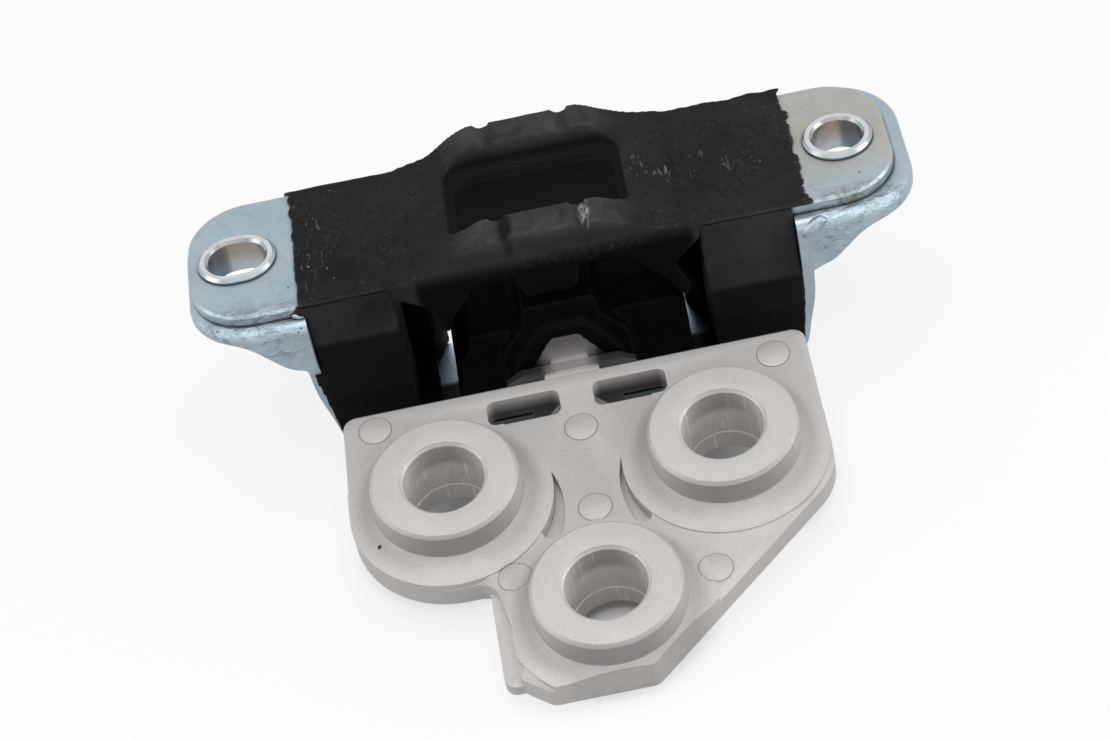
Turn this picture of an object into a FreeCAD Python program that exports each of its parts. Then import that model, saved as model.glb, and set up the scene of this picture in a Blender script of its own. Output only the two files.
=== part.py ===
"""Engine mount: a steel cradle with two bolted ears, a rubber spring bonded inside it and a cast bracket.

Millimetres. The shapes are drawn with z = 0 on the top face of the ears and y = 0 through the two ear
holes, +X along the ears and +Y away from the bracket. At the end everything is moved so that the origin
is the middle of the bounding box's underside, where the part stands.
"""

import FreeCAD
import Part
import math
import os

from FreeCAD import Base

os.makedirs("parts", exist_ok=True)

# Steel sheets
EAR_SPACING = 130.0
UPPER_SHEET = 2.5
LOWER_SHEET = 2.5
UPPER_END_MARGIN = 10.5
UPPER_DEPTH = 38.0
UPPER_CORNER = 13.0
UPPER_EDGE = 0.5
LEFT_EAR_MARGIN = 11.6
RIGHT_EAR_MARGIN = 14.0
EAR_DEPTH = 44.8
EAR_CORNER = 15.0
EAR_BEND = 2.2
LEFT_RIM_DROP = 2.6
RIGHT_RIM_DROP = 4.0
RIM_CURVE = 9.0
SKIRT_DROP = 7.2
SKIRT_REACH = 4.5
SKIRT_CURVE = 4.0
SKIRT_END_DROP = 3.9
SKIRT_END_CURVE = 1.3
CRADLE_WIDTH = 109.0
CRADLE_HEIGHT = 49.5
CRADLE_CORNER = 12.0
WALL_KNEE_DROP = 26.0
WALL_KNEE_ROUND = 60.0
WALL_LEAN = 10.8
WALL_DEPTH = 37.2
WAIST_DROP = 20.0
FOOT_DEPTH = 30.0
FOOT_DROP = 36.0
FLOOR_DEPTH = 28.4
NECK_ROUND = 3.0
FOOT_ROUND = 20.0

# Clinched collars in the ear holes
BOLT_HOLE = 10.6
COLLAR_WALL = 1.2
COLLAR_LIP = 1.0
COLLAR_LIP_HEIGHT = 1.2
COLLAR_EDGE = 0.6
COLLAR_LENGTH = 8.0
SLOT_EXTRA = 1.9

# Rubber over the upper sheet
SKIN = 1.0
RUBBER_DEPTH = 40.0
STRAP_LEFT = 53.0
STRAP_RIGHT = 56.0
STRAP_END_ROUND = 0.6
HUMP_HEIGHT = 8.0
HUMP_TOP_HALF = 12.0
HUMP_TOP_ROUND = 5.0
HUMP_MID_HALF = 22.0
HUMP_MID_HEIGHT = 2.0
HUMP_MID_ROUND = 10.0
HUMP_FOOT_HALF = 31.0
HUMP_FOOT_ROUND = 9.0
POCKET_WIDTH = 40.4
POCKET_FRONT = 12.6
POCKET_REAR = 13.2
POCKET_FRONT_CORNER = 2.5
POCKET_REAR_CORNER = 6.5
POCKET_DRAFT = 1.4
POCKET_FLOOR_DRAFT = 0.3
POCKET_STEP = 1.6
POCKET_STEP_HEIGHT = 1.4
POCKET_FLOOR = 0.5
NOTCH_WIDTH = 3.2
NOTCH_LEAN = 0.4
NOTCH_DEPTH = 1.3
NOTCH_ROUND = 0.9
NOTCH_LEFT = 8.8
NOTCH_RIGHT = 8.3
STOP_WEB = 0.6
STOP_ROUND = 1.5
TONGUE_LEFT = 6.0
TONGUE_RIGHT = 5.0
TONGUE_DROP = 6.1
TONGUE_LEAN = 1.3
VOID_HALF = 16.2
LOBE_NECK = 26.1
LOBE_FLANK_ROUND = 5.0
LEFT_LOBE_TIP = 23.6
LEFT_LOBE_DROP = 12.2
RIGHT_LOBE_TIP = 27.0
RIGHT_LOBE_DROP = 15.3
LOBE_FLANK_OUT = 0.72
LOBE_FLANK_DOWN = 0.62
LOBE_HEEL_DOWN = 0.78
LOBE_NECK_DOWN = 0.35
LOBE_TIP_WIDTH = 1.6

# Side buffers
LEFT_BUFFER_INNER = 33.6
RIGHT_BUFFER_INNER = 32.0
BUFFER_FACET_TOP = 11.0
BUFFER_FACET_MID = 19.5
BUFFER_FACET_LOW = 28.0
BUFFER_LEAN_MID = 0.7
BUFFER_LEAN_LOW = 2.2
BUFFER_LEAN_FOOT = 2.6
BUFFER_FACET_ROUND = 1.0
LEFT_BUFFER_LIP = 1.9
LEFT_BUFFER_KNEE = 20.0
LEFT_BUFFER_LEAN = 8.2
RIGHT_BUFFER_LIP = 0.0
RIGHT_BUFFER_KNEE = 26.0
RIGHT_BUFFER_LEAN = 6.1
BUFFER_PAD_DROP = 20.5
BUFFER_PAD_REAR = 16.0
LEFT_PAD_INNER = 26.0
LEFT_PAD_FRONT = 7.5
LEFT_PAD_SLANT = 8.0
RIGHT_PAD_INNER = 27.4
RIGHT_PAD_FRONT = 3.5
RIGHT_PAD_SLANT = 7.9
LEFT_TOE = 29.4
RIGHT_TOE = 31.3
BUFFER_TOE_HEIGHT = 3.0

# Main spring
COLUMN_DEPTH = 38.0
SPRING_DEPTH = 32.0
HEAD_GAP = 3.7
HEAD_HALF = 7.8
HEAD_ROUND = 1.2
COLUMN_NECK_HALF = 8.6
COLUMN_NECK_DROP = 5.4
COLUMN_FOOT_HALF = 14.0
COLUMN_FOOT_DROP = 11.8
COLUMN_ROUND = 4.0
LEFT_SHOULDER = 21.8
RIGHT_SHOULDER = 26.3
SHOULDER_DROP = 20.4
SHOULDER_ROUND = 2.5
SPRING_LEFT_FOOT = 25.2
SPRING_RIGHT_FOOT = 26.8
SPRING_FLANK_DROP = 28.0
FLANK_ROUND = 4.0
CAVITY_HALF = 13.0
CAVITY_TOP_HALF = 10.0
CAVITY_HEIGHT = 3.8
CAVITY_ROOF = 3.2
ARCH_WALL = 2.8
ARCH_FRONT = 20.5
TAPER_DROP = 30.0
TAPER_FOOT_DEPTH = 27.4

# Cast bracket
BRACKET_TILT = 8.4
BRACKET_REAR = 24.2
BRACKET_REAR_DROP = 28.9
BRACKET_THICKNESS = 6.0
BRACKET_HALF = 50.0
BRACKET_REAR_EDGE = 0.9
BRACKET_EDGE = 1.2
REAR_CORNER = 3.0
BORE_RADIUS = 8.6
BORE_STEP = 0.3
BORE_STEP_DEPTH = 13.4
BOSS_HEIGHT = 8.2
BOSS_RING = 15.6
BOSS_FOOT = 16.1
CONE_RADIUS = 20.2
PEDESTAL_RADIUS = 21.9
PEDESTAL_HEIGHT = 0.4
CONE_TOP = 2.4
TUBE_RADIUS = 12.4
TUBE_TAPER = 0.5
MOUTH_CHAMFER = 0.7
BOSS_ROUND = 0.7
LEFT_BOSS = (-29.9, -27.1)
RIGHT_BOSS = (28.5, -27.9)
FRONT_BOSS = (-1.0, -61.6)
LOBE_WALL = 22.0
RIGHT_CORNER = 14.0
DIAGONAL_ANGLE = 41.8
NOSE_REACH = 17.0
NOSE_RIGHT = 6.5
NOSE_LEFT = 14.8
NOSE_ROUND = 3.0
WAIST_REACH = 20.4
WAIST_REAR_REACH = 22.6
SCALLOP_RADIUS = 4.0
LUG_REACH = 23.8
LUG_FRONT = 12.4
LUG_REAR = 14.6
LUG_ROUND = 2.5
LUG_HEIGHT = 3.6
LUG_DROP = 6.4
GROOVE_DEPTH = 2.6
LEFT_GROOVE_RADIUS = 22.3
LEFT_GROOVE_SHIFT = (1.15, -5.9)
RIGHT_GROOVE_RADIUS = 26.3
RIGHT_GROOVE_SHIFT = (3.3, -4.8)
GROOVE_END = 12.8
GROOVE_INNER = 12.0
WINDOW_INNER = 3.6
WINDOW_OUTER = 19.3
WINDOW_REAR = 3.3
WINDOW_FRONT = 10.0
WINDOW_CORNER = 1.8
WINDOW_GUSSET = 5.6
WINDOW_GUSSET_DROP = 3.4
RIB = 3.6
REAR_RIB_DROP = 9.0
FRONT_RIB_DROP = 8.4

# Arm of the bracket inside the spring
ARM_TOP_HALF = 3.2
ARM_TOP_DROP = 21.4
ARM_TOP_ROUND = 1.2
ARM_FLANK_HALF = 8.4
ARM_FLANK_DROP = 28.8
ARM_FLANK_ROUND = 1.5
ARM_BASE_HALF = 10.5
ARM_BASE_ROUND = 3.0
ARM_FRONT = 20.2
ARM_REAR = 14.0
BRIDGE_HALF = 5.9
BRIDGE_NARROW = 3.8
BRIDGE_FILLET = 1.6
ROOT_DROP = 2.6
ROOT_REACH = 16.0
ROOT_KNEE_ROUND = 6.0
SKIRT_HALF = 14.0
SKIRT_BUMP_HALF = 10.4
SKIRT_BUMP_DROP = 28.0
SKIRT_FOOT_DROP = 30.0
SKIRT_DEPTH = 2.4


def vec(x, y, z=0.0):
    return Base.Vector(x, y, z)


def rounded_wire(corners, place):
    """A closed wire through corners (a, b, radius), each rounded by its radius; place turns (a, b) into space."""
    edges = []
    starts = []
    ends = []
    count = len(corners)
    for i in range(count):
        a, b, r = corners[i]
        before = corners[i - 1]
        after = corners[(i + 1) % count]
        here = vec(a, b)
        back = (vec(before[0], before[1]) - here).normalize()
        ahead = (vec(after[0], after[1]) - here).normalize()
        if r == 0:
            starts.append(here)
            ends.append(here)
            continue
        half = back.getAngle(ahead) / 2
        reach = r / math.tan(half)
        middle = (back + ahead).normalize()
        centre = here + middle * (r / math.sin(half))
        start = here + back * reach
        end = here + ahead * reach
        starts.append(start)
        ends.append(end)
        edges.append(Part.Arc(place(start), place(centre - middle * r), place(end)).toShape())
    for i in range(count):
        begin = ends[i]
        finish = starts[(i + 1) % count]
        if (begin - finish).Length > 1e-6:
            edges.append(Part.LineSegment(place(begin), place(finish)).toShape())
    return Part.Wire(Part.__sortEdges__(edges))


def prism_xy(corners, low, high):
    wire = rounded_wire(corners, lambda p: vec(p.x, p.y, low))
    return Part.Face(wire).extrude(vec(0, 0, high - low))


def prism_xz(corners, front, rear):
    wire = rounded_wire(corners, lambda p: vec(p.x, front, p.y))
    return Part.Face(wire).extrude(vec(0, rear - front, 0))


def prism_yz(corners, left, right):
    wire = rounded_wire(corners, lambda p: vec(left, p.x, p.y))
    return Part.Face(wire).extrude(vec(right - left, 0, 0))


def cylinder(x, y, low, high, radius):
    return Part.makeCylinder(radius, high - low, vec(x, y, low))


def cut_all(shape, tools):
    for tool in tools:
        shape = shape.cut(tool)
    return shape


def mirrored(corners):
    """The same outline on the other side of x = 0."""
    return [(-a, b, r) for a, b, r in reversed(corners)]


def pick(shape, test):
    """Edges whose middle passes the test."""
    chosen = []
    for edge in shape.Edges:
        middle = edge.valueAt((edge.FirstParameter + edge.LastParameter) / 2)
        if test(middle, edge):
            chosen.append(edge)
    return chosen


def stadium(x, low, high, radius, extra):
    """A round post, or an oblong one where extra is above zero."""
    if extra == 0:
        return cylinder(x, 0, low, high, radius)
    left = x - extra / 2
    right = x + extra / 2
    front_left = vec(left, -radius, low)
    front_right = vec(right, -radius, low)
    rear_left = vec(left, radius, low)
    rear_right = vec(right, radius, low)
    edges = [
        Part.LineSegment(front_left, front_right).toShape(),
        Part.Arc(front_right, vec(right + radius, 0, low), rear_right).toShape(),
        Part.LineSegment(rear_right, rear_left).toShape(),
        Part.Arc(rear_left, vec(left - radius, 0, low), front_left).toShape(),
    ]
    return Part.Face(Part.Wire(edges)).extrude(vec(0, 0, high - low))


WALL_OUT = CRADLE_WIDTH / 2
WALL_IN = WALL_OUT - LOWER_SHEET
FLOOR_TOP = -CRADLE_HEIGHT + LOWER_SHEET
ARM_BASE_DROP = -FLOOR_TOP - CAVITY_HEIGHT - CAVITY_ROOF
EAR_X = EAR_SPACING / 2
UPPER_HALF = EAR_X + UPPER_END_MARGIN
COLLAR_RADIUS = BOLT_HOLE / 2 + COLLAR_WALL
EAR_TOP = -UPPER_SHEET
EAR_UNDER = -UPPER_SHEET - LOWER_SHEET
RUBBER_HALF = RUBBER_DEPTH / 2
CREST = SKIN + HUMP_HEIGHT - 1.0
STOP_UNDER = -UPPER_SHEET - STOP_WEB
TILT_SIN = math.sin(math.radians(BRACKET_TILT))
TILT_COS = math.cos(math.radians(BRACKET_TILT))
NOSE_LOW = BRACKET_REAR_DROP - (FRONT_BOSS[1] - TUBE_RADIUS) * TILT_SIN
TUBE_DROP = (CRADLE_HEIGHT - NOSE_LOW) / TILT_COS
LARGE = 200.0


def upper_plate():
    half = UPPER_DEPTH / 2
    corners = [
        (-UPPER_HALF, -half, UPPER_CORNER),
        (UPPER_HALF, -half, UPPER_CORNER),
        (UPPER_HALF, half, UPPER_CORNER),
        (-UPPER_HALF, half, UPPER_CORNER),
    ]
    plate = prism_xy(corners, -UPPER_SHEET, 0)
    plate = plate.makeChamfer(UPPER_EDGE, pick(plate, lambda p, e: abs(p.z) < 1e-6))
    return plate.cut(stadium(EAR_X, -UPPER_SHEET, 0, COLLAR_RADIUS, 0)).cut(
        stadium(-EAR_X, -UPPER_SHEET, 0, COLLAR_RADIUS, SLOT_EXTRA)
    )


def collar(x, extra):
    """A rolled sleeve that clinches both sheets together, with a bevelled lip on the upper one."""
    lip = stadium(x, 0, COLLAR_LIP_HEIGHT, COLLAR_RADIUS + COLLAR_LIP, extra)
    lip = lip.makeChamfer(COLLAR_EDGE, pick(lip, lambda p, e: p.z > COLLAR_LIP_HEIGHT - 1e-6))
    sleeve = stadium(x, COLLAR_LIP_HEIGHT - COLLAR_LENGTH, 0, COLLAR_RADIUS, extra)
    body = sleeve.fuse(lip).removeSplitter()
    body = body.cut(stadium(x, -LARGE, LARGE, BOLT_HOLE / 2, extra))
    mouth = pick(
        body,
        lambda p, e: p.z > COLLAR_LIP_HEIGHT - 1e-6 and math.hypot(abs(p.x - x) - extra / 2, p.y) < COLLAR_RADIUS,
    )
    return body.makeChamfer(COLLAR_WALL / 2, mouth)


def ear(side):
    """One ear of the lower sheet: a flat top with its edge bent down, deeper towards the wall."""
    half = EAR_DEPTH / 2
    inner = WALL_IN
    end = EAR_X + (RIGHT_EAR_MARGIN if side > 0 else LEFT_EAR_MARGIN)
    rim = EAR_TOP - (RIGHT_RIM_DROP if side > 0 else LEFT_RIM_DROP)
    low = rim - SKIRT_DROP
    deep = low - SKIRT_END_DROP

    def outline(grow, inward):
        return [
            (inner - inward, -half - grow, 0),
            (end + grow, -half - grow, EAR_CORNER + grow),
            (end + grow, half + grow, EAR_CORNER + grow),
            (inner - inward, half + grow, 0),
        ]

    block = prism_xy(outline(0, 0), deep - LOWER_SHEET, EAR_TOP)
    block = block.makeFillet(
        EAR_BEND, pick(block, lambda p, e: p.z > EAR_TOP - 1e-6 and p.x > inner + 1e-6)
    )
    hollow = prism_xy(outline(-LOWER_SHEET, -LOWER_SHEET), -LARGE, EAR_UNDER)
    below = [
        (end + EAR_CORNER, rim, 0),
        ((end + WALL_OUT) / 2, rim, RIM_CURVE),
        (WALL_OUT + SKIRT_REACH, low, SKIRT_CURVE),
        (WALL_OUT, deep, SKIRT_END_CURVE),
        (WALL_OUT, -LARGE, 0),
        (end + EAR_CORNER, -LARGE, 0),
    ]
    shape = block.cut(hollow).cut(prism_xz(below, -LARGE, LARGE))
    shape = shape.cut(stadium(EAR_X, -LARGE, LARGE, COLLAR_RADIUS, 0 if side > 0 else SLOT_EXTRA))
    return shape if side > 0 else shape.mirror(vec(0, 0), vec(1, 0))


def trough_side(inset):
    """Right half of the cradle's section from the ear down, inset from its outer face."""
    lean = math.radians(WALL_LEAN)
    floor = -CRADLE_HEIGHT + inset
    foot = WALL_OUT - inset / math.cos(lean) - (-WALL_KNEE_DROP - floor) * math.tan(lean)
    return [
        (WALL_OUT - inset, EAR_TOP, 0),
        (WALL_OUT - inset, -WALL_KNEE_DROP + inset * math.tan(lean / 2), WALL_KNEE_ROUND - inset),
        (foot, floor, CRADLE_CORNER - inset),
    ]


def lower_cradle():
    outer = trough_side(0)
    inner = trough_side(LOWER_SHEET)
    band = outer + mirrored(outer) + [(-a, b, r) for a, b, r in inner] + list(reversed(inner))
    neck = EAR_TOP - RIGHT_RIM_DROP - SKIRT_DROP
    right = [
        (FLOOR_DEPTH / 2, -CRADLE_HEIGHT - 1.0, 0),
        (FOOT_DEPTH / 2, -FOOT_DROP, FOOT_ROUND),
        (WALL_DEPTH / 2, -WAIST_DROP, NECK_ROUND),
        (EAR_DEPTH / 2, neck, NECK_ROUND),
        (EAR_DEPTH / 2, EAR_TOP, EAR_BEND),
    ]
    side_view = prism_yz(right + mirrored(right), -LARGE, LARGE)
    trough = prism_xz(band, -LARGE / 2, LARGE / 2)
    return trough.fuse([ear(1), ear(-1)]).removeSplitter().common(side_view)


def hump_outline(low):
    """The strap's top line seen from the front, closed at the height low."""
    return [
        (-STRAP_LEFT, low, 0),
        (-STRAP_LEFT, SKIN, STRAP_END_ROUND),
        (-HUMP_FOOT_HALF, SKIN, HUMP_FOOT_ROUND),
        (-HUMP_MID_HALF, SKIN + HUMP_MID_HEIGHT, HUMP_MID_ROUND),
        (-HUMP_TOP_HALF, CREST, HUMP_TOP_ROUND),
        (HUMP_TOP_HALF, CREST, HUMP_TOP_ROUND),
        (HUMP_MID_HALF, SKIN + HUMP_MID_HEIGHT, HUMP_MID_ROUND),
        (HUMP_FOOT_HALF, SKIN, HUMP_FOOT_ROUND),
        (STRAP_RIGHT, SKIN, STRAP_END_ROUND),
        (STRAP_RIGHT, low, 0),
    ]


def pocket(side, front, rear, corner_front, corner_rear, low, high, draft):
    """A rounded rectangular well; its walls lean in by draft towards the bottom."""
    wires = []
    for height, inset in ((low, draft), (high, 0)):
        corners = [
            (-side + inset, -front + inset, corner_front),
            (side - inset, -front + inset, corner_front),
            (side - inset, rear - inset, corner_rear),
            (-side + inset, rear - inset, corner_rear),
        ]
        wires.append(rounded_wire(corners, lambda p, h=height: vec(p.x, p.y, h)))
    return Part.makeLoft(wires, True, True)


def stop_outline(tongue, tip, drop, end):
    """Half of the tongue, a void and a pointed lobe under the sheet, from the middle outwards."""
    flank = VOID_HALF + (tip - VOID_HALF) * LOBE_FLANK_OUT
    return [
        (tongue, STOP_UNDER - TONGUE_DROP, STOP_ROUND),
        (tongue + TONGUE_LEAN, STOP_UNDER, STOP_ROUND),
        (VOID_HALF, STOP_UNDER, STOP_ROUND),
        (flank, STOP_UNDER - drop * LOBE_FLANK_DOWN, LOBE_FLANK_ROUND),
        (tip, STOP_UNDER - drop, LOBE_TIP_WIDTH / 2),
        (tip + LOBE_TIP_WIDTH, STOP_UNDER - drop * LOBE_HEEL_DOWN, LOBE_TIP_WIDTH),
        (LOBE_NECK, STOP_UNDER - drop * LOBE_NECK_DOWN, LOBE_TIP_WIDTH),
        (end, STOP_UNDER + STOP_WEB, 0),
        (end, 0, 0),
    ]


def upper_rubber(plate):
    strap = prism_xz(hump_outline(0), -RUBBER_HALF, RUBBER_HALF)
    right = stop_outline(TONGUE_RIGHT, RIGHT_LOBE_TIP, RIGHT_LOBE_DROP, RIGHT_BUFFER_INNER)
    left = stop_outline(TONGUE_LEFT, LEFT_LOBE_TIP, LEFT_LOBE_DROP, LEFT_BUFFER_INNER)
    below = prism_xz(right + mirrored(left), -RUBBER_HALF, RUBBER_HALF)
    body = strap.fuse(below).removeSplitter()
    ledge = POCKET_FLOOR + POCKET_STEP_HEIGHT
    side = POCKET_WIDTH / 2
    inset = POCKET_DRAFT + POCKET_STEP
    well = pocket(
        side,
        POCKET_FRONT,
        POCKET_REAR,
        POCKET_FRONT_CORNER,
        POCKET_REAR_CORNER,
        ledge,
        CREST + 2.0,
        POCKET_DRAFT,
    )
    floor = pocket(
        side - inset,
        POCKET_FRONT - inset,
        POCKET_REAR - inset,
        POCKET_FRONT_CORNER,
        POCKET_REAR_CORNER - POCKET_STEP,
        POCKET_FLOOR,
        ledge,
        POCKET_FLOOR_DRAFT,
    )
    body = body.cut(well).cut(floor)
    half = NOTCH_WIDTH / 2
    for x in (-NOTCH_LEFT, NOTCH_RIGHT):
        corners = [
            (x - half - NOTCH_LEAN, CREST + 1.0, 0),
            (x - half + NOTCH_LEAN, CREST - NOTCH_DEPTH, NOTCH_ROUND),
            (x + half - NOTCH_LEAN, CREST - NOTCH_DEPTH, NOTCH_ROUND),
            (x + half + NOTCH_LEAN, CREST + 1.0, 0),
        ]
        body = body.cut(prism_xz(corners, -LARGE, LARGE))
    return body.cut(plate)


def buffer(side, plate, cradle):
    """A block bonded to the wall and the bend of the cradle, faceted in front and behind, with a pad behind."""
    half = RUBBER_HALF
    facets = [
        (half, 0, 0),
        (half, -BUFFER_FACET_TOP, BUFFER_FACET_ROUND),
        (half - BUFFER_LEAN_MID, -BUFFER_FACET_MID, BUFFER_FACET_ROUND),
        (half - BUFFER_LEAN_LOW, -BUFFER_FACET_LOW, BUFFER_FACET_ROUND),
        (half - BUFFER_LEAN_FOOT, FLOOR_TOP, 0),
    ]
    profile = [(-a, b, r) for a, b, r in facets] + list(reversed(facets))
    inner = RIGHT_BUFFER_INNER if side > 0 else LEFT_BUFFER_INNER
    pad_inner = RIGHT_PAD_INNER if side > 0 else LEFT_PAD_INNER
    pad_front = RIGHT_PAD_FRONT if side > 0 else LEFT_PAD_FRONT
    slant_end = pad_front + (RIGHT_PAD_SLANT if side > 0 else LEFT_PAD_SLANT)
    toe_inner = RIGHT_TOE if side > 0 else LEFT_TOE
    edge = WALL_IN + (RIGHT_BUFFER_LIP if side > 0 else LEFT_BUFFER_LIP)
    knee = RIGHT_BUFFER_KNEE if side > 0 else LEFT_BUFFER_KNEE
    lean = math.radians(RIGHT_BUFFER_LEAN if side > 0 else LEFT_BUFFER_LEAN)
    block = prism_yz(profile, inner, edge)
    front_view = [
        (0, 0, 0),
        (edge, 0, 0),
        (edge, -knee, WALL_KNEE_ROUND),
        (edge + (FLOOR_TOP + knee) * math.tan(lean), FLOOR_TOP, CRADLE_CORNER - LOWER_SHEET),
        (0, FLOOR_TOP, 0),
    ]
    pad = [
        (inner, pad_front, 0),
        (toe_inner, pad_front, 0),
        (pad_inner, slant_end, 0),
        (pad_inner, BUFFER_PAD_REAR, 0),
        (inner, BUFFER_PAD_REAR, 0),
    ]
    toe = [
        (inner, -BUFFER_PAD_REAR, 0),
        (toe_inner, -BUFFER_PAD_REAR, 0),
        (toe_inner, pad_front, 0),
        (inner, pad_front, 0),
    ]
    block = block.fuse(
        [
            prism_xy(pad, FLOOR_TOP, -BUFFER_PAD_DROP),
            prism_xy(toe, FLOOR_TOP, FLOOR_TOP + BUFFER_TOE_HEIGHT),
        ]
    )
    block = block.removeSplitter().common(prism_xz(front_view, -LARGE, LARGE))
    if side < 0:
        block = block.mirror(vec(0, 0), vec(1, 0))
    block = block.cut(plate).cut(cradle)
    return max(block.Solids, key=lambda s: s.Volume)


def arm_section(grow):
    """The arm's section seen from the front, grown on the top and the sides."""
    return [
        (-ARM_TOP_HALF - grow / 2, -ARM_TOP_DROP + grow, ARM_TOP_ROUND + grow),
        (ARM_TOP_HALF + grow / 2, -ARM_TOP_DROP + grow, ARM_TOP_ROUND + grow),
        (ARM_FLANK_HALF + grow, -ARM_FLANK_DROP + grow / 2, ARM_FLANK_ROUND + grow),
        (ARM_BASE_HALF + grow, -ARM_BASE_DROP, ARM_BASE_ROUND),
        (-ARM_BASE_HALF - grow, -ARM_BASE_DROP, ARM_BASE_ROUND),
        (-ARM_FLANK_HALF - grow, -ARM_FLANK_DROP + grow / 2, ARM_FLANK_ROUND + grow),
    ]


def main_spring(arm, cradle):
    """A column between two shoulders on the cradle's floor, with an arch round the arm and a cavity under it."""
    head = STOP_UNDER - TONGUE_DROP - HEAD_GAP
    column = [
        (HEAD_HALF, head, HEAD_ROUND),
        (COLUMN_NECK_HALF, head - COLUMN_NECK_DROP, COLUMN_ROUND),
        (COLUMN_FOOT_HALF, head - COLUMN_FOOT_DROP, COLUMN_ROUND),
        (COLUMN_FOOT_HALF, FLOOR_TOP, 0),
    ]
    shoulders = [
        (RIGHT_SHOULDER, -SHOULDER_DROP, SHOULDER_ROUND),
        (SPRING_RIGHT_FOOT, -SPRING_FLANK_DROP, FLANK_ROUND),
        (SPRING_RIGHT_FOOT, FLOOR_TOP, 0),
        (-SPRING_LEFT_FOOT, FLOOR_TOP, 0),
        (-SPRING_LEFT_FOOT, -SPRING_FLANK_DROP, FLANK_ROUND),
        (-LEFT_SHOULDER, -SHOULDER_DROP, SHOULDER_ROUND),
    ]
    cavity = [
        (-CAVITY_HALF, FLOOR_TOP, 0),
        (-CAVITY_TOP_HALF, FLOOR_TOP + CAVITY_HEIGHT, ARM_TOP_ROUND),
        (CAVITY_TOP_HALF, FLOOR_TOP + CAVITY_HEIGHT, ARM_TOP_ROUND),
        (CAVITY_HALF, FLOOR_TOP, 0),
    ]
    depth = COLUMN_DEPTH / 2
    body = prism_xz(column + mirrored(column), -depth, depth).fuse(
        [
            prism_xz(shoulders, -SPRING_DEPTH / 2, SPRING_DEPTH / 2),
            prism_xz(arm_section(ARCH_WALL), -ARCH_FRONT, 0),
        ]
    )
    taper = [
        (ARCH_FRONT, 0, 0),
        (ARCH_FRONT, -TAPER_DROP, 0),
        (TAPER_FOOT_DEPTH / 2, FLOOR_TOP, 0),
    ]
    body = body.removeSplitter().common(prism_yz(taper + mirrored(taper), -LARGE, LARGE))
    return cut_all(body, [prism_xz(cavity, -LARGE, LARGE), arm, cradle])


def to_bracket(shape):
    """Moves a shape from the bracket's own plane (u, v, height over the plate) to its tilted place."""
    turn = Base.Rotation(vec(1, 0, 0), BRACKET_TILT)
    return shape.transformed(Base.Placement(vec(0, -BRACKET_REAR, -BRACKET_REAR_DROP), turn).toMatrix())


def bracket_outline():
    nose_end = FRONT_BOSS[1] - NOSE_REACH
    nose_right = FRONT_BOSS[0] + NOSE_RIGHT
    rise = (BRACKET_HALF - nose_right) * math.tan(math.radians(DIAGONAL_ANGLE))
    lobe_end = LEFT_BOSS[1] - LOBE_WALL
    return [
        (-BRACKET_HALF, BRACKET_REAR_EDGE, REAR_CORNER),
        (BRACKET_HALF, BRACKET_REAR_EDGE, REAR_CORNER),
        (BRACKET_HALF, nose_end + rise, RIGHT_CORNER),
        (nose_right, nose_end, NOSE_ROUND),
        (FRONT_BOSS[0] - NOSE_LEFT, nose_end, NOSE_ROUND),
        (FRONT_BOSS[0] - WAIST_REACH, FRONT_BOSS[1] - LUG_FRONT, LUG_ROUND),
        (FRONT_BOSS[0] - WAIST_REACH, FRONT_BOSS[1], LUG_ROUND),
        (FRONT_BOSS[0] - WAIST_REAR_REACH, lobe_end, SCALLOP_RADIUS),
        (LEFT_BOSS[0] - LOBE_WALL, lobe_end, LOBE_WALL - BRACKET_EDGE / 2),
    ]


def boss(x, y):
    """Turned profile of one boss: ring, cone, pedestal above the plate, tube below it."""
    middle = -BRACKET_THICKNESS / 2
    points = [
        (0, -TUBE_DROP),
        (TUBE_RADIUS, -TUBE_DROP),
        (TUBE_RADIUS + TUBE_TAPER, middle),
        (PEDESTAL_RADIUS, middle),
        (PEDESTAL_RADIUS, PEDESTAL_HEIGHT),
        (CONE_RADIUS, PEDESTAL_HEIGHT),
        (BOSS_FOOT, CONE_TOP),
        (BOSS_RING, BOSS_HEIGHT - BOSS_ROUND),
        (BOSS_RING - BOSS_ROUND, BOSS_HEIGHT),
        (0, BOSS_HEIGHT),
    ]
    corners = [vec(x + r, y, h) for r, h in points]
    face = Part.Face(Part.makePolygon(corners + corners[:1]))
    return face.revolve(vec(x, y, 0), vec(0, 0, 1), 360)


def bore(x, y):
    """The through bore, a little smaller below its parting line, with a chamfered mouth."""
    step = BOSS_HEIGHT - BORE_STEP_DEPTH
    upper = cylinder(x, y, step, BOSS_HEIGHT + 1, BORE_RADIUS)
    lower = cylinder(x, y, -LARGE, step, BORE_RADIUS - BORE_STEP)
    mouth = Part.makeCone(
        BORE_RADIUS, BORE_RADIUS + MOUTH_CHAMFER, MOUTH_CHAMFER, vec(x, y, BOSS_HEIGHT - MOUTH_CHAMFER)
    )
    return upper.fuse([lower, mouth])


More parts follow.
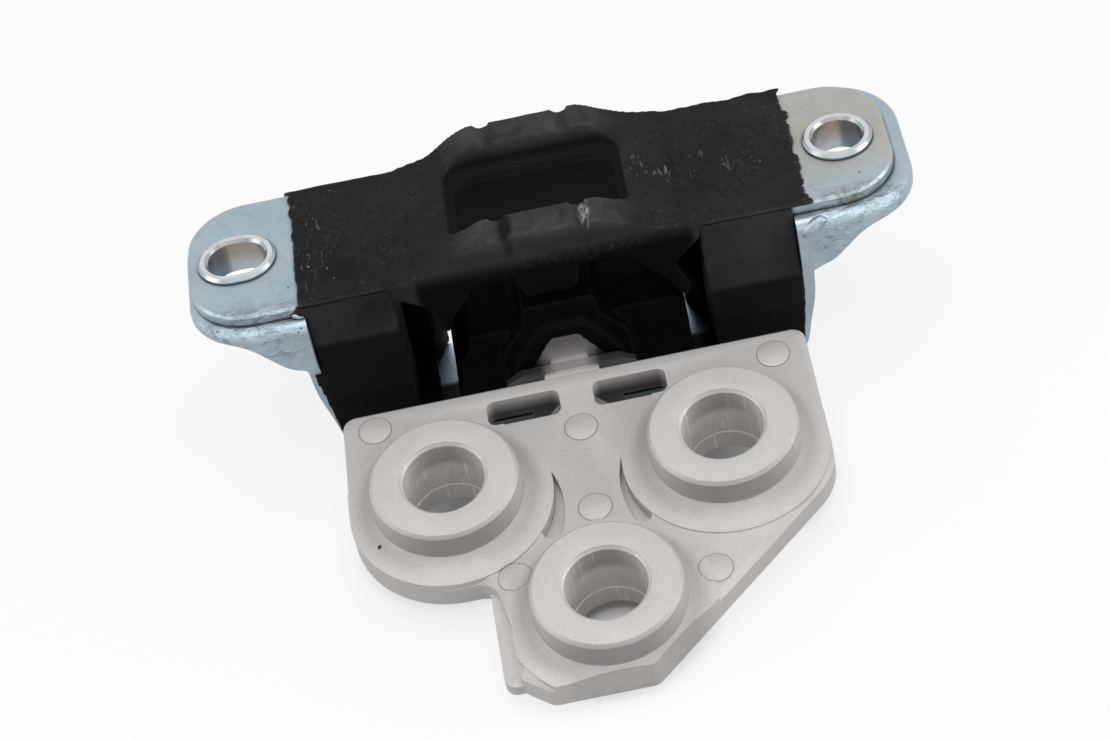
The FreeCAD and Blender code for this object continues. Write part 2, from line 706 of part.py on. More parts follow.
def crescent(centre, side, shift, radius):
    """The moon-shaped groove between a pedestal and a larger circle set off from it, with a rounded end."""
    moon = cylinder(centre[0] + shift[0], centre[1] + shift[1], -GROOVE_DEPTH, 1, radius)
    reach = centre[0] + side * (PEDESTAL_RADIUS + radius)
    inner = centre[0] + side * GROOVE_INNER
    end = centre[1] - GROOVE_END
    window = [
        (inner, end, 0),
        (reach, end, 0),
        (reach, centre[1] + GROOVE_END, 0),
        (inner, centre[1] + GROOVE_END, 0),
    ]
    moon = moon.common(prism_xy(window, -GROOVE_DEPTH, 1))
    across_pedestal = math.sqrt(PEDESTAL_RADIUS**2 - GROOVE_END**2)
    across_groove = side * shift[0] + math.sqrt(radius**2 - (GROOVE_END + shift[1]) ** 2)
    width = across_groove - across_pedestal
    x = centre[0] + side * (across_pedestal + width / 2)
    moon = moon.fuse(cylinder(x, end, -GROOVE_DEPTH, 1, width / 2))
    return moon.cut(cylinder(centre[0], centre[1], -GROOVE_DEPTH, 1, PEDESTAL_RADIUS))


def rib(start, end, drop):
    """A straight web under the plate between two points."""
    a = vec(start[0], start[1])
    b = vec(end[0], end[1])
    along = (b - a).normalize()
    across = vec(-along.y, along.x) * (RIB / 2)
    corners = [a + across, a - across, b - across, b + across]
    return prism_xy([(p.x, p.y, 0) for p in corners], -drop, -BRACKET_THICKNESS / 2)


def bracket_plate():
    plate = prism_xy(bracket_outline(), -BRACKET_THICKNESS, 0)
    plate = plate.makeChamfer(BRACKET_EDGE, pick(plate, lambda p, e: abs(p.z) < 1e-6))
    bosses = (LEFT_BOSS, RIGHT_BOSS, FRONT_BOSS)
    webs = [
        rib((side * ARM_BASE_HALF / 2, -WINDOW_REAR), target, REAR_RIB_DROP)
        for side, target in ((-1, LEFT_BOSS), (1, RIGHT_BOSS))
    ]
    webs += [rib(target, FRONT_BOSS, FRONT_RIB_DROP) for target in bosses[:2]]
    lug_inner = FRONT_BOSS[0] - TUBE_RADIUS
    lug = [
        (FRONT_BOSS[0] - LUG_REACH, FRONT_BOSS[1] + LUG_REAR, LUG_ROUND),
        (FRONT_BOSS[0] - LUG_REACH, FRONT_BOSS[1] - LUG_FRONT, LUG_ROUND),
        (lug_inner, FRONT_BOSS[1] - LUG_FRONT, 0),
        (lug_inner, FRONT_BOSS[1] + LUG_REAR, 0),
    ]
    webs.append(prism_xy(lug, -LUG_DROP, -LUG_HEIGHT))
    silhouette = prism_xy(bracket_outline(), -LARGE, LARGE)
    turned = [boss(*centre).common(silhouette) for centre in bosses]
    shape = plate.fuse(turned + webs)
    cuts = [bore(*centre) for centre in bosses]
    cuts.append(crescent(LEFT_BOSS, 1, LEFT_GROOVE_SHIFT, LEFT_GROOVE_RADIUS))
    cuts.append(crescent(RIGHT_BOSS, -1, RIGHT_GROOVE_SHIFT, RIGHT_GROOVE_RADIUS))
    return cut_all(shape, cuts)


def windows():
    """The two openings behind the rear edge, drawn on the plate, and the gussets in their inner front corners."""
    holes = []
    gussets = []
    for side in (-1, 1):
        window = [
            (side * WINDOW_INNER, -WINDOW_REAR, WINDOW_CORNER),
            (side * WINDOW_OUTER, -WINDOW_REAR, WINDOW_CORNER),
            (side * WINDOW_OUTER, -WINDOW_FRONT, WINDOW_CORNER),
            (side * WINDOW_INNER, -WINDOW_FRONT, WINDOW_CORNER),
        ]
        corner = side * (WINDOW_INNER - 1.0)
        front = -WINDOW_FRONT - 1.0
        gusset = [
            (corner, front, 0),
            (corner + side * (WINDOW_GUSSET + 2.0), front, 0),
            (corner, front + WINDOW_GUSSET + 2.0, 0),
        ]
        holes.append(prism_xy(window, -LARGE, 1))
        gussets.append(prism_xy(gusset, -REAR_RIB_DROP, -WINDOW_GUSSET_DROP))
    return holes, gussets


def plane_height(y):
    """Height of the plate's top plane at y."""
    return -BRACKET_REAR_DROP + (y + BRACKET_REAR) * TILT_SIN / TILT_COS


def arm():
    """The core inside the spring."""
    return prism_xz(arm_section(0), -ARM_FRONT, ARM_REAR)


def arm_root():
    """What joins the core to the plate: a bridge on top, a deep root under it and a low skirt."""
    edge = BRACKET_REAR_EDGE - BRACKET_REAR
    bridge_side = [
        (-ARM_FRONT + 1.0, plane_height(-ARM_FRONT) - BRACKET_THICKNESS, 0),
        (-ARM_FRONT + 1.0, plane_height(-ARM_FRONT) + 2 * BRIDGE_FILLET, 0),
        (-ARM_FRONT, plane_height(-ARM_FRONT) + 2 * BRIDGE_FILLET, 0),
        (-ARM_FRONT, plane_height(-ARM_FRONT), BRIDGE_FILLET),
        (edge - 1.0, plane_height(edge - 1.0), 0),
        (edge - 1.0, plane_height(edge - 1.0) - BRACKET_THICKNESS, 0),
    ]
    bridge_top = [
        (-BRIDGE_HALF, edge - 1.0, 0),
        (BRIDGE_HALF, edge - 1.0, 0),
        (BRIDGE_HALF, edge, 0),
        (BRIDGE_NARROW, -ARM_FRONT, 0),
        (BRIDGE_NARROW, -ARM_FRONT + 1.0, 0),
        (-BRIDGE_NARROW, -ARM_FRONT + 1.0, 0),
        (-BRIDGE_NARROW, -ARM_FRONT, 0),
        (-BRIDGE_HALF, edge, 0),
    ]
    bridge = prism_yz(bridge_side, -BRIDGE_HALF, BRIDGE_HALF)
    bridge = bridge.common(prism_xy(bridge_top, -LARGE, LARGE))
    front = -BRACKET_REAR - ROOT_REACH
    root_side = [
        (-ARM_FRONT + 1.0, -ARM_BASE_DROP, 0),
        (-ARM_FRONT + 1.0, plane_height(-ARM_FRONT) - ROOT_DROP, 0),
        (edge - 1.0, plane_height(edge - 1.0) - ROOT_DROP, 0),
        (front, plane_height(front) - ROOT_DROP, 0),
        (front, plane_height(front) - BRACKET_THICKNESS, 0),
        (-BRACKET_REAR - 1.0, -ARM_BASE_DROP, ROOT_KNEE_ROUND),
    ]
    root = prism_yz(root_side, -ARM_BASE_HALF, ARM_BASE_HALF)
    skirt = [
        (-SKIRT_HALF, -SKIRT_FOOT_DROP - BRACKET_THICKNESS, 0),
        (-SKIRT_HALF, -SKIRT_FOOT_DROP, 0),
        (-SKIRT_BUMP_HALF, -SKIRT_BUMP_DROP, 0),
        (SKIRT_BUMP_HALF, -SKIRT_BUMP_DROP, 0),
        (SKIRT_HALF, -SKIRT_FOOT_DROP, 0),
        (SKIRT_HALF, -SKIRT_FOOT_DROP - BRACKET_THICKNESS, 0),
    ]
    lip = prism_xz(skirt, edge + SKIRT_DEPTH / 4, edge + SKIRT_DEPTH)
    return root.common(prism_xz(arm_section(0), -LARGE, LARGE)).fuse([bridge, lip]).removeSplitter()


def bracket(arm_shape):
    plate = to_bracket(bracket_plate())
    holes, gussets = windows()
    shape = plate.fuse([arm_shape, arm_root()])
    shape = cut_all(shape, [to_bracket(hole) for hole in holes])
    return shape.fuse([to_bracket(gusset) for gusset in gussets]).removeSplitter()


def build():
    plate = upper_plate()
    cradle = lower_cradle()
    arm_shape = arm()
    casting = bracket(arm_shape)
    parts = {
        "lower_cradle": cradle,
        "upper_plate": plate,
        "left_collar": collar(-EAR_X, SLOT_EXTRA),
        "right_collar": collar(EAR_X, 0),
        "upper_rubber": upper_rubber(plate),
        "left_buffer": buffer(-1, plate, cradle),
        "right_buffer": buffer(1, plate, cradle),
        "main_spring": main_spring(casting, cradle),
        "bracket": casting,
    }
    return parts


def main():
    parts = build()
    box = Base.BoundBox()
    for shape in parts.values():
        box.add(shape.optimalBoundingBox(False, False))
    shift = vec(-box.Center.x, -box.Center.y, -box.ZMin)
    print("origin shift", round(shift.x, 4), round(shift.y, 4), round(shift.z, 4))
    for name, shape in parts.items():
        solids = shape.Solids
        moved = Part.makeCompound(solids) if len(solids) > 1 else solids[0]
        moved.translate(shift)
        print(name, len(solids), moved.isValid(), round(moved.Volume, 1))
        moved.exportStep(f"parts/{name}.step")


main()
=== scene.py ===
"""An engine mount on a pale studio floor: plated steel cradle, bonded rubber and a cast aluminium bracket.

Lengths are in metres, in the frame that the solids are loaded in: +X along the ears, +Y away from the
bracket, +Z up from the surface that the mount stands on.
"""

import math

import bpy
from mathutils import Euler, Matrix, Vector


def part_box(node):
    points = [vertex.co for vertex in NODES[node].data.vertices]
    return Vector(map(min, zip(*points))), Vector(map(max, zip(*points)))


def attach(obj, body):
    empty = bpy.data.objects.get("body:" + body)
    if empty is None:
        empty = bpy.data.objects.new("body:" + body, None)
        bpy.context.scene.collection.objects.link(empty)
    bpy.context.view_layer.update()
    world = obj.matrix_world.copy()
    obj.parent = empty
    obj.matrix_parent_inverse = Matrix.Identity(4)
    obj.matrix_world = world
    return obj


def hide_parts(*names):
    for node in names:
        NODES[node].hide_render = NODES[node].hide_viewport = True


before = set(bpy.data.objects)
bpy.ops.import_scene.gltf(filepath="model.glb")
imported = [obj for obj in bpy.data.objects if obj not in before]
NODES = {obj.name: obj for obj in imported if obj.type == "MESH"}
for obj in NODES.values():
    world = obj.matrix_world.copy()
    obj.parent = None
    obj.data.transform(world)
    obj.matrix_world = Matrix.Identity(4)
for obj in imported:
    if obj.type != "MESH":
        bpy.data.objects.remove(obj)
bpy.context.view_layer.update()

bl_info = {
    "name": "Engine Mount",
    "version": (2, 0, 0),
    "blender": (4, 5, 0),
    "location": "View3D > Sidebar > Engine Mount",
    "description": "Dresses an engine mount in plated steel, rubber and cast aluminium",
    "category": "Object",
}

MM = 0.001
STRAP_LOW, STRAP_HIGH = (Vector(corner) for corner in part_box("upper_rubber"))
PLATE_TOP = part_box("upper_plate")[1][2]

# The bracket's plate leans by this much. Its own axes start in the middle of its rear edge.
PLATE_TILT = math.radians(8.4)
PLATE_ORIGIN = Vector((-1.2, 15.7216, 20.6)) * MM
# Places on the plate along its own axes, in millimetres: bosses, ejector marks and a pore.
BOSSES = ((-29.9, -27.1), (28.5, -27.9), (-1.0, -61.6))
MARKS = ((-43.3, -4.6), (42.5, -5.7), (-0.2, -14.7), (-0.4, -36.2), (-19.1, -49.9), (21.3, -57.5))
PORE = (-45.5, -36.4)
MARK_DEPTH = 1.0 * MM
# Places on the floor, in millimetres, that are seen only through the bores. The floor's own light is full
# beyond the first distance from them and gone within the second.
UNDER_BORES = ((-31.1, -3.0), (27.3, -4.0), (-2.8, -37.0))
BORE_FADE = (24.0, 12.0)
# The lower sheet's folded corners beside the strap: place, half sizes and lean, in millimetres and degrees.
NUBS = (((54.2, 18.4, 44.9), (3.4, 1.7, 1.7), -32.0), ((-54.4, 20.6, 47.2), (1.6, 0.8, 0.8), 20.0))
# Scratched places on the strap, a pale patch and a patch of painted shade at its notches: place, radius and
# stretch, in millimetres.
SCRATCHED = (
    ((33.0, 39.0, 50.6), 11.0, (1.0, 1.9, 0.5)),
    ((22.0, 40.5, 51.0), 7.0, (1.0, 1.6, 0.5)),
    ((-52.0, 40.0, 50.6), 10.0, (1.3, 0.6, 0.5)),
)
PALE_NOTCH = ((8.2, 24.0, 56.4), 2.9, (1.9, 0.6, 0.9))
SHADED_NOTCH = ((-8.6, 24.0, 56.0), 3.2, (1.6, 0.5, 0.5))
FOLDS = (4.5, 19.9, 49.6)

# How far wear and moulding move the rubber's faces.
TEAR = 2.4 * MM
FRAY = 0.9 * MM
REAR_LEFT_IN = 1.4 * MM
REAR_RIGHT_WAVE = 1.3 * MM
RIM_WAVE = 0.35 * MM
STRAP_SINK = 0.34 * MM
BLOCK_SINK = 0.40 * MM
SPRING_SINK = 0.35 * MM
PEBBLE = 0.10 * MM
CROWN_DROP = 0.15 * MM
LEFT_FLANK_IN = 2.6 * MM
RIGHT_FLANK_IN = 1.8 * MM

# Colours of small places.
PIT_COLOUR = (0.05, 0.045, 0.04)
# Painted shadow on the trough floor under the arm and the rubber.
SHADE_COLOUR = (0.02, 0.02, 0.022)
# Painted reflection of the bright surroundings on the trough floor.
TROUGH_REFLECTION_COLOUR = (0.66, 0.86, 1.0)
# Grime and painted shade in narrow crevices.
GRIME_AND_SHADE_COLOUR = (0.03, 0.028, 0.026)
# Painted highlight on the collars' up-facing crests.
CREST_HIGHLIGHT_COLOUR = (0.70, 0.71, 0.71)
COPPER_COLOUR = (0.27, 0.19, 0.125)
# Painted shade in the recess under the strap.
RECESS_SHADE_COLOUR = (0.0004, 0.0004, 0.0005)
PALE_NOTCH_COLOUR = (0.46, 0.44, 0.42)
SPECK_COLOUR = (0.30, 0.28, 0.25)
BORE_COLOUR = (0.80, 0.77, 0.74)
STREAK_COLOUR = (0.90, 0.89, 0.88)
PORE_COLOUR = (0.02, 0.02, 0.02)

# Each soft box: name, place, width and power. All look at LAMP_AIM.
LAMPS = (
    ("top box", (0.0, -0.12, 1.10), 0.9, 6.6),
    ("left box", (-1.05, -0.15, 0.50), 0.7, 3.6),
    ("right box", (1.05, -0.25, 0.50), 0.7, 5.6),
    ("front box", (0.20, -1.25, 0.30), 0.8, 2.6),
)
LAMP_AIM = (0, -0.01, 0.03)


class StudioSettings(bpy.types.PropertyGroup):
    """Camera, lamps and floor."""

    camera_place: bpy.props.FloatVectorProperty(
        name="Camera place",
        description="Where the camera stands",
        default=(0.0113, -0.5310, 0.5087),
        subtype="XYZ",
        unit="LENGTH",
    )
    camera_turn: bpy.props.FloatVectorProperty(
        name="Camera turn",
        description="How the camera is turned",
        default=(math.radians(47.672), math.radians(9.417), math.radians(-6.812)),
        subtype="EULER",
        unit="ROTATION",
    )
    lens: bpy.props.FloatProperty(
        name="Lens", description="Focal length in millimetres", default=111.89, min=10.0
    )
    floor_colour: bpy.props.FloatVectorProperty(
        name="Floor colour",
        description="Colour of the floor",
        default=(0.92, 0.92, 0.92),
        size=3,
        subtype="COLOR",
    )
    floor_size: bpy.props.FloatProperty(
        name="Floor size", description="Width of the floor", default=6.0, unit="LENGTH"
    )
    sky: bpy.props.FloatProperty(
        name="Sky", description="Strength of the light from all round", default=0.27, min=0.0
    )


class SteelSettings(bpy.types.PropertyGroup):
    """The plated sheets and their collars."""

    zinc_colour: bpy.props.FloatVectorProperty(
        name="Zinc",
        description="Colour of the plated sheets",
        default=(0.38, 0.47, 0.53),
        size=3,
        subtype="COLOR",
    )
    worn_colour: bpy.props.FloatVectorProperty(
        name="Worn zinc",
        description="Colour of the upper sheet's right ear",
        default=(0.43, 0.43, 0.385),
        size=3,
        subtype="COLOR",
    )
    stain_colour: bpy.props.FloatVectorProperty(
        name="Stain",
        description="Colour of the dirt on the zinc",
        default=(0.16, 0.115, 0.065),
        size=3,
        subtype="COLOR",
    )
    collar_colour: bpy.props.FloatVectorProperty(
        name="Collars",
        description="Colour of the rolled collars",
        default=(0.40, 0.46, 0.50),
        size=3,
        subtype="COLOR",
    )


class RubberSettings(bpy.types.PropertyGroup):
    """All the rubber."""

    colour: bpy.props.FloatVectorProperty(
        name="Rubber",
        description="Colour of clean rubber",
        default=(0.0042, 0.0042, 0.0046),
        size=3,
        subtype="COLOR",
    )
    dust_colour: bpy.props.FloatVectorProperty(
        name="Bloom",
        description="Colour of the grey bloom on it",
        default=(0.040, 0.0392, 0.0415),
        size=3,
        subtype="COLOR",
    )
    scuff_colour: bpy.props.FloatVectorProperty(
        name="Scuffs",
        description="Colour of rubbed places",
        default=(0.15, 0.14, 0.135),
        size=3,
        subtype="COLOR",
    )
    grain: bpy.props.FloatProperty(
        name="Grain",
        description="Cell size that the moulded rubber is meshed at",
        default=0.52 * MM,
        unit="LENGTH",
    )


class CastingSettings(bpy.types.PropertyGroup):
    """The bracket."""

    colour: bpy.props.FloatVectorProperty(
        name="Aluminium",
        description="Colour of the casting",
        default=(0.555, 0.528, 0.518),
        size=3,
        subtype="COLOR",
    )
    edge: bpy.props.FloatProperty(
        name="Edge", description="Width of the softened edges", default=0.35 * MM, unit="LENGTH"
    )
    mark_radius: bpy.props.FloatProperty(
        name="Mark radius",
        description="Radius of the ejector pins' marks",
        default=3.5 * MM,
        unit="LENGTH",
    )
    mark_height: bpy.props.FloatProperty(
        name="Mark height",
        description="How far the marks stand above the plate",
        default=0.10 * MM,
        unit="LENGTH",
    )


def only(piece):
    """Selects one piece and nothing else."""
    if bpy.context.object is not None and bpy.context.object.mode != "OBJECT":
        bpy.ops.object.mode_set(mode="OBJECT")
    bpy.ops.object.select_all(action="DESELECT")
    piece.select_set(True)
    bpy.context.view_layer.objects.active = piece


def copy_of(name, label):
    """A copy of a solid's mesh with its doubles merged, as a piece of its own."""
    piece = bpy.data.objects.new(label, NODES[name].data.copy())
    bpy.context.scene.collection.objects.link(piece)
    only(piece)
    bpy.ops.mesh.customdata_custom_splitnormals_clear()
    bpy.ops.object.mode_set(mode="EDIT")
    bpy.ops.mesh.select_all(action="SELECT")
    bpy.ops.mesh.remove_doubles(threshold=0.002 * MM)
    bpy.ops.object.mode_set(mode="OBJECT")
    piece.data.materials.clear()
    return piece


def finish_with(piece, kind, **settings):
    """Adds one modifier and applies it."""
    only(piece)
    modifier = piece.modifiers.new(kind.lower(), kind)
    for key, value in settings.items():
        setattr(modifier, key, value)
    bpy.ops.object.modifier_apply(modifier=modifier.name)


def mould(piece, cell, rounds):
    """Meshes a piece anew in even cells and softens its edges, as a mould does."""
    finish_with(piece, "REMESH", mode="VOXEL", voxel_size=cell)
    finish_with(piece, "SMOOTH", factor=0.5, iterations=rounds)


def clouds(label, size, contrast=1.2, depth=2):
    """A soft noise texture with cells of this size."""
    made = bpy.data.textures.new(label, "CLOUDS")
    made.noise_scale = size
    made.noise_depth = depth
    made.contrast = contrast
    return made


def weigh(piece, label, rule):
    """A vertex group whose weight at each point is rule(x, y, z) in millimetres."""
    group = piece.vertex_groups.new(name=label)
    for v in piece.data.vertices:
        weight = rule(v.co.x / MM, v.co.y / MM, v.co.z / MM)
        if weight > 0.001:
            group.add((v.index,), min(weight, 1.0), "REPLACE")
    return label


def step(value, low, high):
    """Rises smoothly from 0 at low to 1 at high."""
    t = max(0.0, min(1.0, (value - low) / (high - low)))
    return t * t * (3 - 2 * t)


def push(piece, amount, texture=None, group="", direction="NORMAL", middle=0.5):
    """Moves a piece's surface by an amount, shared out by a texture, a vertex group or both."""
    settings = {"strength": amount, "direction": direction, "mid_level": middle, "vertex_group": group}
    if texture is not None:
        settings["texture"] = texture
        settings["texture_coords"] = "LOCAL"
    finish_with(piece, "DISPLACE", **settings)


def seat(piece, slot, *names):
    """Hangs a finished piece on the body and hides the solids that it stands for."""
    only(piece)
    bpy.ops.object.shade_smooth()
    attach(piece, "root")
    if names:
        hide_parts(*names)


def join(pieces, name):
    """Joins pieces into one of this name."""
    only(pieces[0])
    for piece in pieces:
        piece.select_set(True)
    bpy.ops.object.join()
    joined = bpy.context.object
    joined.name = name
    return joined


def darker(colour, share):
    """A colour cut down to a share of itself."""
    return tuple(c * share for c in colour)


def new_material(name):
    """A material with nothing but a shader and its output."""
    material = bpy.data.materials.new(name)
    material.use_nodes = True
    tree = material.node_tree
    tree.nodes.clear()
    out = tree.nodes.new("ShaderNodeOutputMaterial")
    shader = tree.nodes.new("ShaderNodeBsdfPrincipled")
    tree.links.new(shader.outputs["BSDF"], out.inputs["Surface"])
    return material, tree, shader


def node(tree, kind, **settings):
    """Adds a node with these settings."""
    made = tree.nodes.new(kind)
    for key, value in settings.items():
        setattr(made, key, value)
    return made


def place_of(tree):
    """Where a point lies in the piece's own frame, in metres."""
    return node(tree, "ShaderNodeTexCoord").outputs["Object"]


def mapped(tree, place, scale=(1, 1, 1), turn=(0, 0, 0), shift=(0, 0, 0)):
    """A place that is scaled, turned and shifted."""
    made = node(tree, "ShaderNodeMapping")
    tree.links.new(place, made.inputs["Vector"])
    made.inputs["Scale"].default_value = scale
    made.inputs["Rotation"].default_value = turn
    made.inputs["Location"].default_value = shift
    return made.outputs["Vector"]


def noise_of(tree, place, scale, detail=4.0, roughness=0.55, distortion=0.0):
    """Smooth noise between 0 and 1."""
    made = node(tree, "ShaderNodeTexNoise")
    tree.links.new(place, made.inputs["Vector"])
    made.inputs["Scale"].default_value = scale
    made.inputs["Detail"].default_value = detail
    made.inputs["Roughness"].default_value = roughness
    made.inputs["Distortion"].default_value = distortion
    return made.outputs["Fac"]


def spread(tree, value, low, high, out_low=0.0, out_high=1.0):
    """Maps low to out_low and high to out_high, and stays there beyond them."""
    made = node(tree, "ShaderNodeMapRange")
    tree.links.new(value, made.inputs["Value"])
    made.inputs["From Min"].default_value = low
    made.inputs["From Max"].default_value = high
    made.inputs["To Min"].default_value = out_low
    made.inputs["To Max"].default_value = out_high
    return made.outputs["Result"]


def maths(tree, operation, *values):
    """One maths node. Each value is a socket or a number."""
    made = node(tree, "ShaderNodeMath", operation=operation)
    for socket, value in zip(made.inputs, values):
        if isinstance(value, bpy.types.NodeSocket):
            tree.links.new(value, socket)
        else:
            socket.default_value = value
    return made.outputs[0]


def fold(tree, operation, values):
    """Takes values together, one after the other, by the same operation."""
    made = values[0]
    for value in values[1:]:
        made = maths(tree, operation, made, value)
    return made


def times(tree, *values):
    return fold(tree, "MULTIPLY", values)


def largest(tree, *values):
    return fold(tree, "MAXIMUM", values)


def absolute(tree, value):
    return maths(tree, "ABSOLUTE", value)


def blend_colours(tree, share, first, second):
    """Mixes two colours by share. Each is a socket or three numbers."""
    made = node(tree, "ShaderNodeMix", data_type="RGBA", blend_type="MIX")
    sockets = {s.name + s.type: s for s in made.inputs}
    tree.links.new(share, sockets["FactorVALUE"])
    for key, value in (("ARGBA", first), ("BRGBA", second)):
        if isinstance(value, bpy.types.NodeSocket):
            tree.links.new(value, sockets[key])
        else:
            sockets[key].default_value = (*value[:3], 1.0)
    return [s for s in made.outputs if s.type == "RGBA"][0]


def bump_of(tree, height, strength, distance, under=None):
    """Tilts the normal by a height, on top of the bump under it."""
    made = node(tree, "ShaderNodeBump")
    tree.links.new(height, made.inputs["Height"])
    made.inputs["Strength"].default_value = strength
    made.inputs["Distance"].default_value = distance
    if under is not None:
        tree.links.new(under, made.inputs["Normal"])
    return made.outputs["Normal"]


def axes_of(tree, place):
    """X, Y and Z of a place or a normal, by name."""
    made = node(tree, "ShaderNodeSeparateXYZ")
    tree.links.new(place, made.inputs[0])
    return made.outputs


def distance_from(tree, place, centre, stretch=(1, 1, 1)):
    """Distance from a place in millimetres, with each axis stretched first."""
    flat = mapped(tree, place, scale=tuple(s / MM for s in stretch))
    made = node(tree, "ShaderNodeVectorMath", operation="DISTANCE")
    tree.links.new(flat, made.inputs[0])
    made.inputs[1].default_value = tuple(c * s for c, s in zip(centre, stretch))
    return made.outputs["Value"]


def from_line(tree, place, centre):
    """Distance in millimetres from an upright line at centre."""
    return distance_from(tree, place, (*centre, 0.0), (1, 1, 0))


def spot(tree, place, centre, radius, stretch=(1, 1, 1)):
    """1 inside a place's radius, fading to 0 over its outer half."""
    return spread(tree, distance_from(tree, place, centre, stretch), radius, radius * 0.5)


def edge_wear_and_sheen(tree, low, high):
    """1 on convex edges and 0 elsewhere."""
    return spread(tree, node(tree, "ShaderNodeNewGeometry").outputs["Pointiness"], low, high)


def faces_up(tree, low, high):
    """Rises from 0 to 1 as the surface turns up."""
    normal = node(tree, "ShaderNodeNewGeometry").outputs["Normal"]
    return spread(tree, axes_of(tree, normal)["Z"], low, high)


def crevice(tree, reach):
    """Rises to 1 in corners that are narrower than reach millimetres."""
    made = node(tree, "ShaderNodeAmbientOcclusion", samples=8)
    made.inputs["Distance"].default_value = reach * MM
    return spread(tree, made.outputs["AO"], 0.86, 0.50)


def zinc_material(name, settings, right_warm):
    """Bluish plating, cloudy and finely scratched, with stains, pits and grime. It carries painted shade in
    crevices, a painted shadow under the arm and a painted reflection in the side gaps. Its right half may be
    duller.
    """
    material, tree, shader = new_material(name)
    place = place_of(tree)
    axes = axes_of(tree, place)
    aside = absolute(tree, axes["X"])
    zinc = tuple(settings.zinc_colour)
    cloud = noise_of(tree, place, 60.0, 5.0, 0.6)
    fine = noise_of(tree, place, 520.0, 4.0, 0.65)
    patches = spread(tree, cloud, 0.35, 0.7)
    tone = blend_colours(tree, patches, zinc, darker(zinc, 0.86))
    if right_warm:
        worn = tuple(settings.worn_colour)
        right = times(
            tree,
            spread(tree, axes["X"], 0.0, 0.02),
            spread(tree, axes["Y"], 0.0250, 0.0370, 0.25, 1.0),
        )
        dull = blend_colours(tree, patches, worn, darker(worn, 0.86))
        tone = blend_colours(tree, right, tone, dull)
    tone = blend_colours(tree, spread(tree, fine, 0.42, 0.75, 0.0, 0.35), tone, darker(zinc, 0.62))
    front_stain = 0.85 if right_warm else 0.2
    stain = times(
        tree,
        spread(tree, noise_of(tree, place, 210.0, 6.0, 0.7, 0.6), 0.50, 0.66),
        spread(tree, axes["Y"], 0.0275, 0.0205, 0.12, front_stain),
        0.75,
    )
    tone = blend_colours(tree, stain, tone, tuple(settings.stain_colour))
    pits = times(
        tree,
        spread(tree, noise_of(tree, place, 700.0, 2.0, 0.5), 0.715, 0.76),
        spread(tree, noise_of(tree, place, 120.0, 2.0), 0.46, 0.58),
    )
    tone = blend_colours(tree, pits, tone, PIT_COLOUR)
    inner = spread(tree, aside, 0.0460, 0.0430)
    # Painted shadow: the trough floor is darkened low down, under the bracket's arm and the rubber, except
    # in the side gaps at the rear.
    covered = largest(tree, spread(tree, aside, 0.0225, 0.0205), spread(tree, axes["Y"], 0.0424, 0.0412))
    under = times(tree, covered, spread(tree, axes["Z"], 0.010, 0.006), inner, 0.92)
    tone = blend_colours(tree, under, tone, SHADE_COLOUR)
    # Painted reflection: the trough floor in the side gaps at the rear is painted pale blue, as if it
    # mirrors the bright surroundings. The same places are made more metallic and a little smoother.
    gap = times(
        tree,
        spread(tree, aside, 0.0225, 0.0245),
        spread(tree, axes["Z"], 0.005, 0.003),
        spread(tree, axes["Y"], 0.0402, 0.0418),
        inner,
    )
    tone = blend_colours(tree, times(tree, gap, 0.95), tone, TROUGH_REFLECTION_COLOUR)
    front_corner = times(
        tree,
        spread(tree, axes["Y"], 0.0245, 0.0225),
        spread(tree, axes["Z"], 0.036, 0.041),
    )
    bend = times(tree, spread(tree, aside, 0.053, 0.058), front_corner)
    crumple = noise_of(tree, mapped(tree, place, scale=(1, 1.6, 2.2)), 330.0, 4.0, 0.62, 0.4)
    mottle = times(tree, bend, spread(tree, crumple, 0.50, 0.64), 0.55)
    tone = blend_colours(tree, mottle, tone, darker(zinc, 0.25))
    # Grime and painted shade: narrow crevices higher than about 30 mm are darker, such as the line between
    # the sheets.
    dirt = times(tree, crevice(tree, 1.2), spread(tree, axes["Z"], 0.028, 0.034, 0.0, 0.92))
    tone = blend_colours(tree, dirt, tone, GRIME_AND_SHADE_COLOUR)
    tree.links.new(tone, shader.inputs["Base Color"])
    tree.links.new(spread(tree, gap, 0.0, 1.0, 0.72, 1.0), shader.inputs["Metallic"])
    rough = times(
        tree,
        spread(tree, cloud, 0.3, 0.75, 0.34, 0.50),
        spread(tree, gap, 0.0, 1.0, 1.0, 0.9),
    )
    tree.links.new(rough, shader.inputs["Roughness"])
    drawn = mapped(tree, place, scale=(60, 1500, 900), turn=(0, 0, 0.5))
    scratches = noise_of(tree, drawn, 1.0, 3.0, 0.6)
    relief = bump_of(tree, fine, 0.22, 0.00010)
    relief = bump_of(tree, scratches, 0.10, 0.00005, relief)
    relief = bump_of(tree, times(tree, bend, crumple), 0.55, 0.0011, relief)
    tree.links.new(bump_of(tree, cloud, 0.30, 0.0008, relief), shader.inputs["Normal"])
    return material


